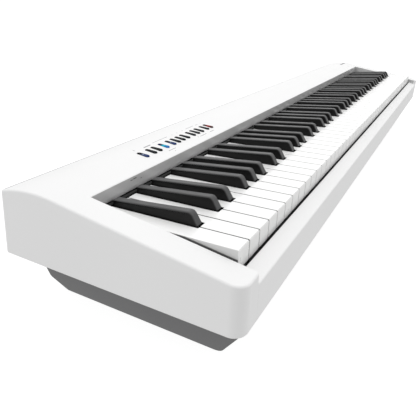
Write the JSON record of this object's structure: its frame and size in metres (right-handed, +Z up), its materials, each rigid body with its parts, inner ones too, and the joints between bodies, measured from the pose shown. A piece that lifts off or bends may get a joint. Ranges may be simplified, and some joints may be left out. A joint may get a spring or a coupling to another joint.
{
  "type": "digital piano",
  "caption": "Slab digital piano: white case on a grey base section, weighted-size hinged keys that press down, and a row of push buttons on the top panel.",
  "frame": {"origin": "On the supporting surface, under the middle of the outline (feet bottoms at z = 0).", "axes": "+X from the bass end to the treble end, +Y from the player to the rear wall, +Z up"},
  "size_m": [1.29, 0.29, 0.152],
  "materials": {
    "case_white": "satin",
    "plate_grey": "matte",
    "base_grey": "matte",
    "rubber": "matte",
    "cone": "matte",
    "grille": "matte",
    "chassis_steel": "satin",
    "rod_steel": "polished",
    "board_green": "matte",
    "socket_black": "matte",
    "key_white": "satin",
    "key_black": "satin",
    "button_dark": "satin",
    "button_navy": "satin",
    "button_blue": "satin",
    "button_red": "satin"
  },
  "bodies": {
    "piano": {"left_end_cap": "case_white", "right_end_cap": "case_white", "top_panel": "case_white", "front_rail": "case_white", "bottom_plate": "plate_grey", "base_tray": "base_grey", "front_left_foot": "rubber", "front_right_foot": "rubber", "rear_left_foot": "rubber", "rear_right_foot": "rubber", "speaker_left": "cone", "speaker_right": "cone", "speaker_grille_left": "grille", "speaker_grille_right": "grille", "key_chassis": "chassis_steel", "pivot_rod": "rod_steel", "sensor_board": "board_green", "panel_board": "board_green", "main_board": "board_green", "jack_panel": "socket_black"},
    "power_button": {"power_button": "button_navy"},
    "volume_down_button": {"volume_down_button": "button_dark"},
    "volume_up_button": {"volume_up_button": "button_dark"},
    "wireless_button": {"wireless_button": "button_blue"},
    "piano_tone_button": {"piano_tone_button": "button_navy"},
    "electric_tone_button": {"electric_tone_button": "button_dark"},
    "strings_tone_button": {"strings_tone_button": "button_dark"},
    "other_tone_button": {"other_tone_button": "button_dark"},
    "metronome_button": {"metronome_button": "button_dark"},
    "slower_button": {"slower_button": "button_dark"},
    "faster_button": {"faster_button": "button_dark"},
    "play_button": {"play_button": "button_dark"},
    "record_button": {"record_button": "button_red"},
    "white_key_A0": {"white_key_A0": "key_white"},
    "black_key_As0": {"black_key_As0": "key_black"},
    "white_key_B0": {"white_key_B0": "key_white"},
    "white_keys_octave_1": {"white_keys_octave_1": "key_white"},
    "black_keys_octave_1": {"black_keys_octave_1": "key_black"},
    "white_keys_octave_2": {"white_keys_octave_2": "key_white"},
    "black_keys_octave_2": {"black_keys_octave_2": "key_black"},
    "white_keys_octave_3": {"white_keys_octave_3": "key_white"},
    "black_keys_octave_3": {"black_keys_octave_3": "key_black"},
    "white_key_C4": {"white_key_C4": "key_white"},
    "black_key_Cs4": {"black_key_Cs4": "key_black"},
    "white_key_D4": {"white_key_D4": "key_white"},
    "black_key_Ds4": {"black_key_Ds4": "key_black"},
    "white_key_E4": {"white_key_E4": "key_white"},
    "white_key_F4": {"white_key_F4": "key_white"},
    "black_key_Fs4": {"black_key_Fs4": "key_black"},
    "white_key_G4": {"white_key_G4": "key_white"},
    "black_key_Gs4": {"black_key_Gs4": "key_black"},
    "white_key_A4": {"white_key_A4": "key_white"},
    "black_key_As4": {"black_key_As4": "key_black"},
    "white_key_B4": {"white_key_B4": "key_white"},
    "white_keys_octave_5": {"white_keys_octave_5": "key_white"},
    "black_keys_octave_5": {"black_keys_octave_5": "key_black"},
    "white_keys_octave_6": {"white_keys_octave_6": "key_white"},
    "black_keys_octave_6": {"black_keys_octave_6": "key_black"},
    "white_keys_octave_7": {"white_keys_octave_7": "key_white"},
    "black_keys_octave_7": {"black_keys_octave_7": "key_black"}
  },
  "joints": [
    {"name": "power_press", "type": "slide", "parent": "piano", "child": "power_button", "axis": [0, 0, -1], "range_m": [0, 0.001], "stiffness_N_per_m": 600, "springref_m": -0.0008},
    {"name": "volume_down_press", "type": "slide", "parent": "piano", "child": "volume_down_button", "axis": [0, 0, -1], "range_m": [0, 0.001], "stiffness_N_per_m": 600, "springref_m": -0.0008},
    {"name": "volume_up_press", "type": "slide", "parent": "piano", "child": "volume_up_button", "axis": [0, 0, -1], "range_m": [0, 0.001], "stiffness_N_per_m": 600, "springref_m": -0.0008},
    {"name": "wireless_press", "type": "slide", "parent": "piano", "child": "wireless_button", "axis": [0, 0, -1], "range_m": [0, 0.001], "stiffness_N_per_m": 600, "springref_m": -0.0008},
    {"name": "piano_tone_press", "type": "slide", "parent": "piano", "child": "piano_tone_button", "axis": [0, 0, -1], "range_m": [0, 0.001], "stiffness_N_per_m": 600, "springref_m": -0.0008},
    {"name": "electric_tone_press", "type": "slide", "parent": "piano", "child": "electric_tone_button", "axis": [0, 0, -1], "range_m": [0, 0.001], "stiffness_N_per_m": 600, "springref_m": -0.0008},
    {"name": "strings_tone_press", "type": "slide", "parent": "piano", "child": "strings_tone_button", "axis": [0, 0, -1], "range_m": [0, 0.001], "stiffness_N_per_m": 600, "springref_m": -0.0008},
    {"name": "other_tone_press", "type": "slide", "parent": "piano", "child": "other_tone_button", "axis": [0, 0, -1], "range_m": [0, 0.001], "stiffness_N_per_m": 600, "springref_m": -0.0008},
    {"name": "metronome_press", "type": "slide", "parent": "piano", "child": "metronome_button", "axis": [0, 0, -1], "range_m": [0, 0.001], "stiffness_N_per_m": 600, "springref_m": -0.0008},
    {"name": "slower_press", "type": "slide", "parent": "piano", "child": "slower_button", "axis": [0, 0, -1], "range_m": [0, 0.001], "stiffness_N_per_m": 600, "springref_m": -0.0008},
    {"name": "faster_press", "type": "slide", "parent": "piano", "child": "faster_button", "axis": [0, 0, -1], "range_m": [0, 0.001], "stiffness_N_per_m": 600, "springref_m": -0.0008},
    {"name": "play_press", "type": "slide", "parent": "piano", "child": "play_button", "axis": [0, 0, -1], "range_m": [0, 0.001], "stiffness_N_per_m": 600, "springref_m": -0.0008},
    {"name": "record_press", "type": "slide", "parent": "piano", "child": "record_button", "axis": [0, 0, -1], "range_m": [0, 0.001], "stiffness_N_per_m": 600, "springref_m": -0.0008},
    {"name": "white_key_A0_press", "type": "hinge", "parent": "piano", "child": "white_key_A0", "pos_m": [0, 0.118, 0.118], "axis": [1, 0, 0], "range_deg": [0, 2.4], "stiffness_Nm_per_rad": 1, "springref_deg": -11.46},
    {"name": "black_key_As0_press", "type": "hinge", "parent": "piano", "child": "black_key_As0", "pos_m": [0, 0.118, 0.118], "axis": [1, 0, 0], "range_deg": [0, 2.4], "stiffness_Nm_per_rad": 1, "springref_deg": -11.46},
    {"name": "white_key_B0_press", "type": "hinge", "parent": "piano", "child": "white_key_B0", "pos_m": [0, 0.118, 0.118], "axis": [1, 0, 0], "range_deg": [0, 2.4], "stiffness_Nm_per_rad": 1, "springref_deg": -11.46},
    {"name": "white_keys_octave_1_press", "type": "hinge", "parent": "piano", "child": "white_keys_octave_1", "pos_m": [0, 0.118, 0.118], "axis": [1, 0, 0], "range_deg": [0, 2.4], "stiffness_Nm_per_rad": 7, "springref_deg": -11.46},
    {"name": "black_keys_octave_1_press", "type": "hinge", "parent": "piano", "child": "black_keys_octave_1", "pos_m": [0, 0.118, 0.118], "axis": [1, 0, 0], "range_deg": [0, 2.4], "stiffness_Nm_per_rad": 5, "springref_deg": -11.46},
    {"name": "white_keys_octave_2_press", "type": "hinge", "parent": "piano", "child": "white_keys_octave_2", "pos_m": [0, 0.118, 0.118], "axis": [1, 0, 0], "range_deg": [0, 2.4], "stiffness_Nm_per_rad": 7, "springref_deg": -11.46},
    {"name": "black_keys_octave_2_press", "type": "hinge", "parent": "piano", "child": "black_keys_octave_2", "pos_m": [0, 0.118, 0.118], "axis": [1, 0, 0], "range_deg": [0, 2.4], "stiffness_Nm_per_rad": 5, "springref_deg": -11.46},
    {"name": "white_keys_octave_3_press", "type": "hinge", "parent": "piano", "child": "white_keys_octave_3", "pos_m": [0, 0.118, 0.118], "axis": [1, 0, 0], "range_deg": [0, 2.4], "stiffness_Nm_per_rad": 7, "springref_deg": -11.46},
    {"name": "black_keys_octave_3_press", "type": "hinge", "parent": "piano", "child": "black_keys_octave_3", "pos_m": [0, 0.118, 0.118], "axis": [1, 0, 0], "range_deg": [0, 2.4], "stiffness_Nm_per_rad": 5, "springref_deg": -11.46},
    {"name": "white_key_C4_press", "type": "hinge", "parent": "piano", "child": "white_key_C4", "pos_m": [0, 0.118, 0.118], "axis": [1, 0, 0], "range_deg": [0, 2.4], "stiffness_Nm_per_rad": 1, "springref_deg": -11.46},
    {"name": "black_key_Cs4_press", "type": "hinge", "parent": "piano", "child": "black_key_Cs4", "pos_m": [0, 0.118, 0.118], "axis": [1, 0, 0], "range_deg": [0, 2.4], "stiffness_Nm_per_rad": 1, "springref_deg": -11.46},
    {"name": "white_key_D4_press", "type": "hinge", "parent": "piano", "child": "white_key_D4", "pos_m": [0, 0.118, 0.118], "axis": [1, 0, 0], "range_deg": [0, 2.4], "stiffness_Nm_per_rad": 1, "springref_deg": -11.46},
    {"name": "black_key_Ds4_press", "type": "hinge", "parent": "piano", "child": "black_key_Ds4", "pos_m": [0, 0.118, 0.118], "axis": [1, 0, 0], "range_deg": [0, 2.4], "stiffness_Nm_per_rad": 1, "springref_deg": -11.46},
    {"name": "white_key_E4_press", "type": "hinge", "parent": "piano", "child": "white_key_E4", "pos_m": [0, 0.118, 0.118], "axis": [1, 0, 0], "range_deg": [0, 2.4], "stiffness_Nm_per_rad": 1, "springref_deg": -11.46},
    {"name": "white_key_F4_press", "type": "hinge", "parent": "piano", "child": "white_key_F4", "pos_m": [0, 0.118, 0.118], "axis": [1, 0, 0], "range_deg": [0, 2.4], "stiffness_Nm_per_rad": 1, "springref_deg": -11.46},
    {"name": "black_key_Fs4_press", "type": "hinge", "parent": "piano", "child": "black_key_Fs4", "pos_m": [0, 0.118, 0.118], "axis": [1, 0, 0], "range_deg": [0, 2.4], "stiffness_Nm_per_rad": 1, "springref_deg": -11.46},
    {"name": "white_key_G4_press", "type": "hinge", "parent": "piano", "child": "white_key_G4", "pos_m": [0, 0.118, 0.118], "axis": [1, 0, 0], "range_deg": [0, 2.4], "stiffness_Nm_per_rad": 1, "springref_deg": -11.46},
    {"name": "black_key_Gs4_press", "type": "hinge", "parent": "piano", "child": "black_key_Gs4", "pos_m": [0, 0.118, 0.118], "axis": [1, 0, 0], "range_deg": [0, 2.4], "stiffness_Nm_per_rad": 1, "springref_deg": -11.46},
    {"name": "white_key_A4_press", "type": "hinge", "parent": "piano", "child": "white_key_A4", "pos_m": [0, 0.118, 0.118], "axis": [1, 0, 0], "range_deg": [0, 2.4], "stiffness_Nm_per_rad": 1, "springref_deg": -11.46},
    {"name": "black_key_As4_press", "type": "hinge", "parent": "piano", "child": "black_key_As4", "pos_m": [0, 0.118, 0.118], "axis": [1, 0, 0], "range_deg": [0, 2.4], "stiffness_Nm_per_rad": 1, "springref_deg": -11.46},
    {"name": "white_key_B4_press", "type": "hinge", "parent": "piano", "child": "white_key_B4", "pos_m": [0, 0.118, 0.118], "axis": [1, 0, 0], "range_deg": [0, 2.4], "stiffness_Nm_per_rad": 1, "springref_deg": -11.46},
    {"name": "white_keys_octave_5_press", "type": "hinge", "parent": "piano", "child": "white_keys_octave_5", "pos_m": [0, 0.118, 0.118], "axis": [1, 0, 0], "range_deg": [0, 2.4], "stiffness_Nm_per_rad": 7, "springref_deg": -11.46},
    {"name": "black_keys_octave_5_press", "type": "hinge", "parent": "piano", "child": "black_keys_octave_5", "pos_m": [0, 0.118, 0.118], "axis": [1, 0, 0], "range_deg": [0, 2.4], "stiffness_Nm_per_rad": 5, "springref_deg": -11.46},
    {"name": "white_keys_octave_6_press", "type": "hinge", "parent": "piano", "child": "white_keys_octave_6", "pos_m": [0, 0.118, 0.118], "axis": [1, 0, 0], "range_deg": [0, 2.4], "stiffness_Nm_per_rad": 7, "springref_deg": -11.46},
    {"name": "black_keys_octave_6_press", "type": "hinge", "parent": "piano", "child": "black_keys_octave_6", "pos_m": [0, 0.118, 0.118], "axis": [1, 0, 0], "range_deg": [0, 2.4], "stiffness_Nm_per_rad": 5, "springref_deg": -11.46},
    {"name": "white_keys_octave_7_press", "type": "hinge", "parent": "piano", "child": "white_keys_octave_7", "pos_m": [0, 0.118, 0.118], "axis": [1, 0, 0], "range_deg": [0, 2.4], "stiffness_Nm_per_rad": 8, "springref_deg": -11.46},
    {"name": "black_keys_octave_7_press", "type": "hinge", "parent": "piano", "child": "black_keys_octave_7", "pos_m": [0, 0.118, 0.118], "axis": [1, 0, 0], "range_deg": [0, 2.4], "stiffness_Nm_per_rad": 5, "springref_deg": -11.46}
  ]
}
